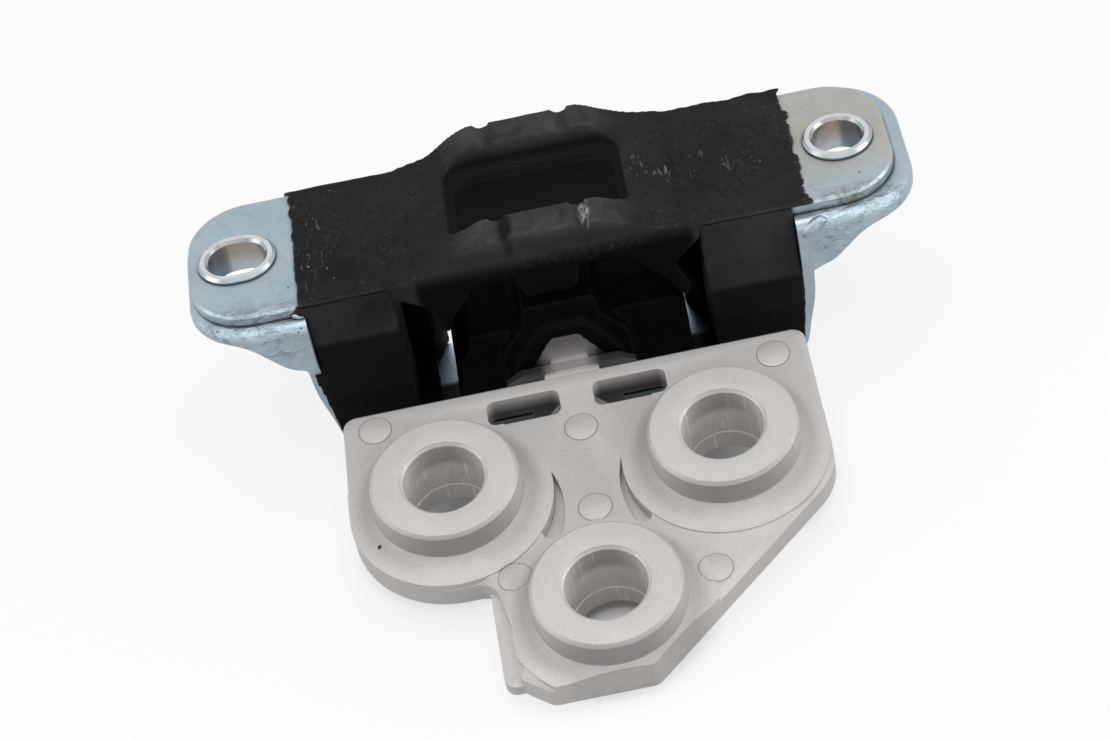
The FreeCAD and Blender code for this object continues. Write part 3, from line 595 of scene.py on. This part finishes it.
def collar_material(settings):
    """Rolled steel with a painted highlight on its up-facing crest, a coppery rear rim, and grime and
    painted shade at its foot.
    """
    material, tree, shader = new_material("rolled steel")
    place = place_of(tree)
    axes = axes_of(tree, place)
    cloud = noise_of(tree, place, 300.0, 4.0)
    colour = tuple(settings.collar_colour)
    tone = blend_colours(tree, spread(tree, cloud, 0.35, 0.7), colour, darker(colour, 0.86))
    # Painted highlight: the crest is lighter where it faces up.
    crest = times(tree, faces_up(tree, 0.80, 0.98), spread(tree, cloud, 0.30, 0.55, 0.5, 1.0), 0.75)
    tone = blend_colours(tree, crest, tone, CREST_HIGHLIGHT_COLOUR)
    copper = times(
        tree,
        spread(tree, axes["Y"], 0.0400, 0.0440),
        spread(tree, axes["Z"], 0.0440, 0.0475),
        faces_up(tree, 0.90, 0.60),
        0.7,
    )
    tone = blend_colours(tree, copper, tone, COPPER_COLOUR)
    # Grime and painted shade in the crevice at the collar's foot.
    tone = blend_colours(tree, crevice(tree, 0.9), tone, GRIME_AND_SHADE_COLOUR)
    tree.links.new(tone, shader.inputs["Base Color"])
    shader.inputs["Metallic"].default_value = 0.9
    tree.links.new(spread(tree, cloud, 0.3, 0.7, 0.20, 0.36), shader.inputs["Roughness"])
    draws = noise_of(tree, mapped(tree, place, scale=(2600, 2600, 60)), 1.0, 3.0, 0.6)
    relief = bump_of(tree, draws, 0.15, 0.00006)
    tree.links.new(bump_of(tree, cloud, 0.06, 0.0002, relief), shader.inputs["Normal"])
    return material


def wrinkles(tree, place, centre, pitch, reach, stretch):
    """Fine rings round a place, broken up, within its reach."""
    away = distance_from(tree, place, centre, stretch)
    wobble = spread(tree, noise_of(tree, place, 260.0, 3.0), 0.0, 1.0, -pitch, pitch)
    rings = maths(tree, "SINE", times(tree, maths(tree, "ADD", away, wobble), 2 * math.pi / pitch))
    patchy = spread(tree, noise_of(tree, place, 700.0, 3.0), 0.46, 0.60)
    inside = spread(tree, away, reach, reach * 0.6)
    return times(tree, spread(tree, rings, 0.30, 0.95), patchy, inside)


def rubber_material(settings):
    """Black rubber under a grey bloom, with rubbed edges, dust specks, scratches and moulding wrinkles. A
    painted sheen lies on its edges, and painted shade lies low down, in the pocket and in the recess.
    """
    material, tree, shader = new_material("moulded rubber")
    place = place_of(tree)
    axes = axes_of(tree, place)
    aside = absolute(tree, axes["X"])
    clean = tuple(settings.colour)
    scuff = tuple(settings.scuff_colour)
    cloud = noise_of(tree, place, 42.0, 6.0, 0.65)
    grain = noise_of(tree, place, 1500.0, 3.0, 0.6)
    ripple = noise_of(tree, place, 170.0, 5.0, 0.6, 0.8)
    # Painted shade: below a level that lies lower towards +X, the bloom fades to 8 percent.
    level = maths(tree, "ADD", axes["Z"], spread(tree, axes["X"], -0.03, 0.03, 0.0, 0.0075))
    high = spread(tree, level, 0.0378, 0.0394, 0.08, 1.0)
    # Painted shade: the recess under the strap's front, in the middle and low down, is made near black, with
    # almost no bloom or specks.
    recess = times(tree, spread(tree, aside, 0.0300, 0.0285), spread(tree, axes["Z"], 0.0515, 0.0475))
    across = absolute(tree, maths(tree, "ADD", axes["X"], 0.0012))
    along = absolute(tree, maths(tree, "SUBTRACT", axes["Y"], 0.0402))
    # The pocket in the strap's top, where the bloom and specks are thinned as painted shade.
    pocket = times(
        tree,
        spread(tree, across, 0.0202, 0.0185),
        spread(tree, along, 0.0132, 0.0118),
        spread(tree, axes["Z"], 0.0560, 0.0535),
    )
    # The grey bloom, with painted shade and light in it: weaker in the pocket, in the recess and low down,
    # stronger on side faces than on up-facing ones, and stronger towards +X.
    bloom = times(
        tree,
        spread(tree, cloud, 0.34, 0.66, 0.45, 1.0),
        spread(tree, faces_up(tree, 0.1, 0.9), 0.0, 1.0, 1.0, 0.44),
        high,
        spread(tree, axes["X"], -0.050, 0.050, 0.80, 1.12),
        spread(tree, pocket, 0.0, 1.0, 1.0, 0.25),
        spread(tree, recess, 0.0, 1.0, 1.0, 0.10),
    )
    tone = blend_colours(tree, bloom, clean, tuple(settings.dust_colour))
    # Painted shade: the recess is darkened almost to black.
    tone = blend_colours(tree, times(tree, recess, 0.8), tone, RECESS_SHADE_COLOUR)
    crest = times(
        tree,
        spread(tree, axes["Z"], 0.0535, 0.0568),
        spread(tree, ripple, 0.30, 0.62, 0.35, 1.0),
        0.28,
    )
    tone = blend_colours(tree, crest, tone, scuff)
    # Dust specks on up-facing faces, thinned in the pocket and the recess as painted shade.
    speckle = times(
        tree,
        spread(tree, grain, 0.50, 0.72),
        spread(tree, ripple, 0.40, 0.62),
        faces_up(tree, 0.3, 0.9),
        0.22,
        spread(tree, largest(tree, pocket, recess), 0.0, 1.0, 1.0, 0.15),
    )
    tone = blend_colours(tree, speckle, tone, scuff)
    # Wear and a painted sheen on convex edges: lighter there, less so low down.
    edges = times(
        tree,
        edge_wear_and_sheen(tree, 0.53, 0.62),
        spread(tree, ripple, 0.35, 0.60, 0.15, 0.6),
        spread(tree, axes["Z"], 0.036, 0.048, 0.15, 1.0),
        0.55,
    )
    tone = blend_colours(tree, edges, tone, scuff)
    drawn = mapped(tree, place, scale=(900, 190, 300), turn=(0, 0, 0.9))
    scratch = spread(tree, noise_of(tree, drawn, 1.0, 3.0, 0.5, 1.2), 0.60, 0.68)
    for centre, radius, stretch in SCRATCHED:
        mask = times(tree, scratch, spot(tree, place, centre, radius, stretch), 0.75)
        tone = blend_colours(tree, mask, tone, scuff)
    patchy = noise_of(tree, mapped(tree, place, scale=(2, 1, 0.6)), 700.0, 3.0)
    # A pale, patchy mark on the strap's right notch.
    rubbed = times(tree, spot(tree, place, *PALE_NOTCH), spread(tree, patchy, 0.40, 0.60), 0.7)
    tone = blend_colours(tree, rubbed, tone, PALE_NOTCH_COLOUR)
    tone = blend_colours(tree, times(tree, spot(tree, place, *SHADED_NOTCH), 0.9), tone, clean)
    dust = times(
        tree,
        spread(tree, noise_of(tree, place, 950.0, 1.0), 0.76, 0.80),
        spread(tree, aside, 0.030, 0.048),
        faces_up(tree, 0.8, 0.95),
    )
    tone = blend_colours(tree, dust, tone, SPECK_COLOUR)
    folds = wrinkles(tree, place, FOLDS, 0.80, 7.0, (0.40, 0.6, 2.6))
    tone = blend_colours(tree, times(tree, folds, 0.20), tone, scuff)
    tree.links.new(tone, shader.inputs["Base Color"])
    tree.links.new(spread(tree, cloud, 0.3, 0.75, 0.50, 0.66), shader.inputs["Roughness"])
    shader.inputs["IOR"].default_value = 1.12
    relief = bump_of(tree, grain, 0.30, 0.00008)
    relief = bump_of(tree, folds, 0.5, 0.0002, relief)
    tree.links.new(bump_of(tree, ripple, 0.35, 0.0005, relief), shader.inputs["Normal"])
    return material


def casting_material(settings):
    """Die cast aluminium: a fine grain, ringed marks and streaks in the bores, with painted shade on
    forward-facing slopes, round the boss feet, in the windows and on the arm's root.
    """
    material, tree, shader = new_material("cast aluminium")
    place = place_of(tree)
    turned = Matrix.Rotation(-PLATE_TILT, 3, "X") @ PLATE_ORIGIN
    own = mapped(tree, place, turn=(-PLATE_TILT, 0, 0), shift=tuple(-turned))
    axes = axes_of(tree, own)
    cloud = noise_of(tree, place, 35.0, 5.0, 0.6)
    grain = noise_of(tree, place, 1700.0, 2.0, 0.5)
    colour = tuple(settings.colour)
    tone = blend_colours(tree, spread(tree, cloud, 0.3, 0.7), colour, darker(colour, 0.92))
    tone = blend_colours(tree, spread(tree, grain, 0.45, 0.8, 0.0, 0.30), tone, darker(colour, 0.62))
    drawn = noise_of(tree, mapped(tree, own, scale=(1500, 1500, 70)), 1.0, 3.0, 0.6)
    bores = largest(tree, *[spread(tree, from_line(tree, own, centre), 9.1, 8.8) for centre in BOSSES])
    dragged = times(tree, bores, spread(tree, drawn, 0.35, 0.62, 0.0, 0.34))
    tone = blend_colours(tree, dragged, tone, darker(colour, 0.6))
    tone = blend_colours(tree, times(tree, bores, 0.45), tone, BORE_COLOUR)
    streaks = times(tree, bores, spread(tree, drawn, 0.59, 0.66), 0.8)
    tone = blend_colours(tree, streaks, tone, STREAK_COLOUR)
    rings = []
    for centre in MARKS:
        away = from_line(tree, own, centre)
        rings.append(times(tree, spread(tree, away, 3.30, 3.48), spread(tree, away, 3.72, 3.55)))
    flat = spread(tree, absolute(tree, axes["Z"]), 0.0020, 0.0015)
    tone = blend_colours(tree, times(tree, largest(tree, *rings), flat, 0.75), tone, darker(colour, 0.35))
    # Painted shade: the arm's root behind the plate's rear edge, under the rubber, is made nearly black.
    root = largest(
        tree,
        spread(tree, absolute(tree, axes["X"]), 0.0030, 0.0065, 0.45, 1.0),
        spread(tree, axes["Z"], 0.0005, 0.0050, 0.2, 0.95),
    )
    root = times(tree, spread(tree, axes["Y"], 0.0002, 0.0016), root, 0.98)
    tone = blend_colours(tree, root, tone, darker(colour, 0.03))
    # Painted shade: faces that look forward and stand above the plate are darker.
    forward = times(tree, axes_of(tree, node(tree, "ShaderNodeNewGeometry").outputs["Normal"])["Y"], -1.0)
    slopes = times(tree, spread(tree, forward, 0.45, 0.95), spread(tree, axes["Z"], 0.0010, 0.0030), 0.60)
    tone = blend_colours(tree, slopes, tone, darker(colour, 0.30))
    # Painted shade: a darker ring round the foot of each boss, near the plate's level, strongest at the
    # boss's sides.
    feet = []
    for centre in BOSSES:
        away = from_line(tree, own, centre)
        aside = absolute(tree, maths(tree, "SUBTRACT", axes["X"], centre[0] * MM))
        foot = times(
            tree,
            spread(tree, away, 15.2, 16.4),
            spread(tree, away, 20.6, 18.0),
            spread(tree, aside, 0.004, 0.016, 0.30, 1.0),
        )
        feet.append(foot)
    feet = times(tree, largest(tree, *feet), spread(tree, axes["Z"], 0.0060, 0.0015), 0.42)
    tone = blend_colours(tree, feet, tone, darker(colour, 0.35))
    # Painted shade: the inside of the plate's two windows is made nearly black.
    window_shade = times(
        tree,
        spread(tree, axes["Y"], -0.0106, -0.0100),
        spread(tree, axes["Y"], -0.0026, -0.0032),
        spread(tree, absolute(tree, axes["X"]), 0.0200, 0.0194),
        spread(tree, axes["Z"], -0.0008, -0.0045),
    )
    tone = blend_colours(tree, window_shade, tone, darker(colour, 0.10))
    tone = blend_colours(tree, spread(tree, from_line(tree, own, PORE), 0.55, 0.35), tone, PORE_COLOUR)
    tree.links.new(tone, shader.inputs["Base Color"])
    shader.inputs["Metallic"].default_value = 0.22
    shader.inputs["Specular IOR Level"].default_value = 0.30
    tree.links.new(spread(tree, cloud, 0.3, 0.75, 0.48, 0.62), shader.inputs["Roughness"])
    relief = bump_of(tree, grain, 0.40, 0.00014)
    relief = bump_of(tree, times(tree, bores, drawn), 0.5, 0.00012, relief)
    relief = bump_of(tree, noise_of(tree, place, 260.0, 3.0), 0.20, 0.0003, relief)
    tree.links.new(relief, shader.inputs["Normal"])
    return material


def dress(name, material):
    """Gives a solid this material alone."""
    target = NODES[name].data
    target.materials.clear()
    target.materials.append(material)


class MOUNT_OT_steel(bpy.types.Operator):
    """Plate the two sheets and finish the collars, with a painted highlight on their crests"""

    bl_idname = "mount.steel"
    bl_label = "Steel Sheets and Collars"

    def execute(self, context):
        settings = context.scene.mount_steel
        dress("lower_cradle", zinc_material("plated steel", settings, False))
        dress("upper_plate", zinc_material("worn plated steel", settings, True))
        collars = collar_material(settings)
        dress("left_collar", collars)
        dress("right_collar", collars)
        nubs = []
        for place, half, lean in NUBS:
            bpy.ops.object.select_all(action="DESELECT")
            bpy.ops.mesh.primitive_uv_sphere_add(
                segments=40,
                ring_count=24,
                radius=1.0,
                location=Vector(place) * MM,
                rotation=(0, math.radians(lean), 0),
                scale=Vector(half) * MM,
            )
            bpy.ops.object.transform_apply()
            nubs.append(context.object)
        folded = join(nubs, "folded_corners")
        folded.data.materials.append(NODES["lower_cradle"].data.materials[0])
        seat(folded, "zinc_steel")
        return {"FINISHED"}


def rubber_skin():
    """The one rubber finish that all rubber pieces share."""
    found = bpy.data.materials.get("moulded rubber")
    return found if found is not None else rubber_material(bpy.context.scene.mount_rubber)


class MOUNT_OT_strap(bpy.types.Operator):
    """Mould the strap over the upper sheet, with its ragged ends and its uneven rear edge"""

    bl_idname = "mount.strap"
    bl_label = "Rubber Strap"

    def execute(self, context):
        strap = copy_of("upper_rubber", "strap")
        mould(strap, context.scene.mount_rubber.grain, 3)
        left, right = STRAP_LOW.x / MM, STRAP_HIGH.x / MM
        rear, front = STRAP_HIGH.y / MM, STRAP_LOW.y / MM
        top = STRAP_HIGH.z / MM
        shelf = PLATE_TOP / MM - 0.2
        torn = weigh(
            strap, "torn end", lambda x, y, z: step(x, right - 2.2, right - 0.6) * step(z, shelf - 1, shelf)
        )
        push(strap, -TEAR, clouds("tears", 1.7 * MM, 1.9, 3), torn, "X", 0.25)
        frayed = weigh(
            strap, "left end", lambda x, y, z: step(-x, -left - 1.4, -left - 0.3) * step(z, shelf - 1, shelf)
        )
        push(strap, FRAY, clouds("fray", 2.6 * MM, 1.4), frayed, "X", 0.3)
        low_left = weigh(
            strap,
            "rear left",
            lambda x, y, z: step(y, rear - 6, rear) * step(-x, 16, 24)
            * (0.45 + 0.55 * step(z, shelf - 0.5, shelf + 0.5)),
        )
        push(strap, -REAR_LEFT_IN, None, low_left, "Y", 0.0)
        wavy = weigh(strap, "rear right", lambda x, y, z: step(y, rear - 4, rear) * step(x, 20, 30))
        push(strap, -REAR_RIGHT_WAVE, clouds("waves", 5.0 * MM, 1.5), wavy, "Y", 0.4)
        rim = weigh(strap, "front rim", lambda x, y, z: step(-y, -front - 1.5, -front))
        push(strap, RIM_WAVE, clouds("front waves", 6.0 * MM), rim, "Y")
        push(strap, STRAP_SINK, clouds("sink", 11.0 * MM))
        push(strap, PEBBLE, clouds("pebble", 1.6 * MM))
        crown = weigh(strap, "crown", lambda x, y, z: step(z, top - 1.2, top))
        push(strap, -CROWN_DROP, None, crown, "Z", 0.0)
        strap.data.materials.append(rubber_skin())
        seat(strap, "rubber", "upper_rubber")
        return {"FINISHED"}


class MOUNT_OT_blocks(bpy.types.Operator):
    """Mould the two side blocks that hang between the sheets"""

    bl_idname = "mount.blocks"
    bl_label = "Rubber Blocks"

    def execute(self, context):
        for name in ("left_buffer", "right_buffer"):
            block = copy_of(name, name.replace("buffer", "block"))
            mould(block, context.scene.mount_rubber.grain, 4)
            push(block, BLOCK_SINK, clouds(name + " sink", 12.0 * MM))
            push(block, PEBBLE, clouds(name + " pebble", 1.8 * MM))
            block.data.materials.append(rubber_skin())
            seat(block, "rubber", name)
        return {"FINISHED"}


class MOUNT_OT_spring(bpy.types.Operator):
    """Mould the main spring round the bracket's arm"""

    bl_idname = "mount.spring"
    bl_label = "Main Spring"

    def execute(self, context):
        spring = copy_of("main_spring", "spring")
        mould(spring, context.scene.mount_rubber.grain, 5)
        left = weigh(spring, "left flank", lambda x, y, z: step(-x, 20, 24.5) * step(z, 6, 26))
        push(spring, LEFT_FLANK_IN, None, left, "X", 0.0)
        right = weigh(
            spring, "right flank", lambda x, y, z: step(x, 19, 23.5) * step(y, 38, 41) * step(-z, -16, -5)
        )
        push(spring, -RIGHT_FLANK_IN, None, right, "X", 0.0)
        push(spring, SPRING_SINK, clouds("spring sink", 10.0 * MM))
        push(spring, PEBBLE, clouds("spring pebble", 1.8 * MM))
        spring.data.materials.append(rubber_skin())
        seat(spring, "rubber", "main_spring")
        return {"FINISHED"}


class MOUNT_OT_bracket(bpy.types.Operator):
    """Cast the bracket with soft edges and add the marks that the ejector pins leave"""

    bl_idname = "mount.bracket"
    bl_label = "Cast Bracket"

    def execute(self, context):
        settings = context.scene.mount_casting
        casting = copy_of("bracket", "casting")
        own = Matrix.Translation(PLATE_ORIGIN) @ Matrix.Rotation(PLATE_TILT, 4, "X")
        only(casting)
        bpy.ops.object.mode_set(mode="EDIT")
        bpy.ops.mesh.select_all(action="SELECT")
        bpy.ops.mesh.dissolve_limited(angle_limit=math.radians(0.8))
        bpy.ops.object.mode_set(mode="OBJECT")
        finish_with(
            casting,
            "BEVEL",
            width=settings.edge,
            segments=3,
            limit_method="ANGLE",
            angle_limit=math.radians(28),
        )
        skin = casting_material(settings)
        casting.data.materials.append(skin)
        seat(casting, "cast_aluminium", "bracket")
        bpy.ops.object.shade_smooth_by_angle(angle=math.radians(31))
        discs = []
        for u, v in MARKS:
            bpy.ops.object.select_all(action="DESELECT")
            bpy.ops.mesh.primitive_cylinder_add(
                vertices=48,
                radius=settings.mark_radius,
                depth=MARK_DEPTH,
                location=(u * MM, v * MM, settings.mark_height - MARK_DEPTH / 2),
            )
            disc = context.object
            bpy.ops.object.transform_apply()
            finish_with(disc, "BEVEL", width=settings.mark_height, segments=2, limit_method="ANGLE")
            discs.append(disc)
        marks = join(discs, "ejector_marks")
        marks.data.transform(own)
        marks.data.materials.append(skin)
        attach(marks, "root")
        only(marks)
        bpy.ops.object.shade_smooth_by_angle(angle=math.radians(30))
        return {"FINISHED"}


def floor_material(colour):
    """White to the camera and to glossy rays, plain floor to the rest, so the shadow stays."""
    material, tree, shader = new_material("floor")
    shader.inputs["Roughness"].default_value = 0.9
    shader.inputs["Specular IOR Level"].default_value = 0.1
    glow = node(tree, "ShaderNodeEmission")
    glow.inputs["Strength"].default_value = 1.0
    path = node(tree, "ShaderNodeLightPath")
    seen = largest(tree, path.outputs["Is Camera Ray"], path.outputs["Is Glossy Ray"])
    tree.links.new(blend_colours(tree, seen, darker(colour, 0.5), colour), shader.inputs["Base Color"])
    place = place_of(tree)
    near = [spread(tree, from_line(tree, place, centre), *BORE_FADE) for centre in UNDER_BORES]
    bared = largest(tree, *near)
    glowing = times(tree, seen, spread(tree, bared, 0.0, 1.0, 0.80, 0.0))
    mix = node(tree, "ShaderNodeMixShader")
    tree.links.new(glowing, mix.inputs["Fac"])
    tree.links.new(shader.outputs["BSDF"], mix.inputs[1])
    tree.links.new(glow.outputs["Emission"], mix.inputs[2])
    out = [n for n in tree.nodes if n.type == "OUTPUT_MATERIAL"][0]
    tree.links.new(mix.outputs["Shader"], out.inputs["Surface"])
    return material


def lamp(name, place, aim, size, power):
    """A square soft box that looks at aim."""
    data = bpy.data.lights.new(name, "AREA")
    data.size = size
    data.energy = power
    made = bpy.data.objects.new(name, data)
    bpy.context.scene.collection.objects.link(made)
    made.location = place
    made.rotation_euler = (Vector(aim) - Vector(place)).to_track_quat("-Z", "Y").to_euler()


class MOUNT_OT_studio(bpy.types.Operator):
    """Set up the floor, the lamps, the world and the camera"""

    bl_idname = "mount.studio"
    bl_label = "Studio"

    def execute(self, context):
        settings = context.scene.mount_studio
        bpy.ops.object.select_all(action="DESELECT")
        bpy.ops.mesh.primitive_plane_add(size=settings.floor_size, location=(0, 0, -0.0002))
        floor = context.object
        floor.name = "floor"
        floor.data.materials.append(floor_material(tuple(settings.floor_colour)))
        for name, place, size, power in LAMPS:
            lamp(name, place, LAMP_AIM, size, power)
        world = bpy.data.worlds.new("studio")
        world.use_nodes = True
        tree = world.node_tree
        back = tree.nodes["Background"]
        back.inputs["Color"].default_value = (1, 1, 1, 1)
        path = node(tree, "ShaderNodeLightPath")
        rays = ("Is Camera Ray", "Is Glossy Ray", "Is Transmission Ray")
        seen = largest(tree, *[path.outputs[ray] for ray in rays])
        tree.links.new(spread(tree, seen, 0.0, 1.0, settings.sky, 1.0), back.inputs["Strength"])
        context.scene.world = world
        context.scene.view_settings.view_transform = "Standard"
        data = bpy.data.cameras.new("camera")
        data.lens = settings.lens
        data.sensor_width = 36.0
        camera = bpy.data.objects.new("camera", data)
        context.scene.collection.objects.link(camera)
        camera.location = settings.camera_place
        camera.rotation_euler = Euler(settings.camera_turn)
        context.scene.camera = camera
        return {"FINISHED"}


OPERATORS = (
    MOUNT_OT_steel,
    MOUNT_OT_strap,
    MOUNT_OT_blocks,
    MOUNT_OT_spring,
    MOUNT_OT_bracket,
    MOUNT_OT_studio,
)
SETTINGS = {
    "mount_steel": SteelSettings,
    "mount_rubber": RubberSettings,
    "mount_casting": CastingSettings,
    "mount_studio": StudioSettings,
}


class MOUNT_PT_panel(bpy.types.Panel):
    """Lists the steps that dress the mount."""

    bl_idname = "MOUNT_PT_panel"
    bl_label = "Engine Mount"
    bl_space_type = "VIEW_3D"
    bl_region_type = "UI"
    bl_category = "Engine Mount"

    def draw(self, context):
        for operator in OPERATORS:
            self.layout.operator(operator.bl_idname)


def register():
    for name, group in SETTINGS.items():
        bpy.utils.register_class(group)
        setattr(bpy.types.Scene, name, bpy.props.PointerProperty(type=group))
    for operator in OPERATORS:
        bpy.utils.register_class(operator)
    bpy.utils.register_class(MOUNT_PT_panel)


def unregister():
    bpy.utils.unregister_class(MOUNT_PT_panel)
    for operator in reversed(OPERATORS):
        bpy.utils.unregister_class(operator)
    for name, group in SETTINGS.items():
        delattr(bpy.types.Scene, name)
        bpy.utils.unregister_class(group)


def main():
    register()
    bpy.ops.mount.steel()
    bpy.ops.mount.strap()
    bpy.ops.mount.blocks()
    bpy.ops.mount.spring()
    bpy.ops.mount.bracket()
    bpy.ops.mount.studio()


if __name__ == "__main__":
    main()
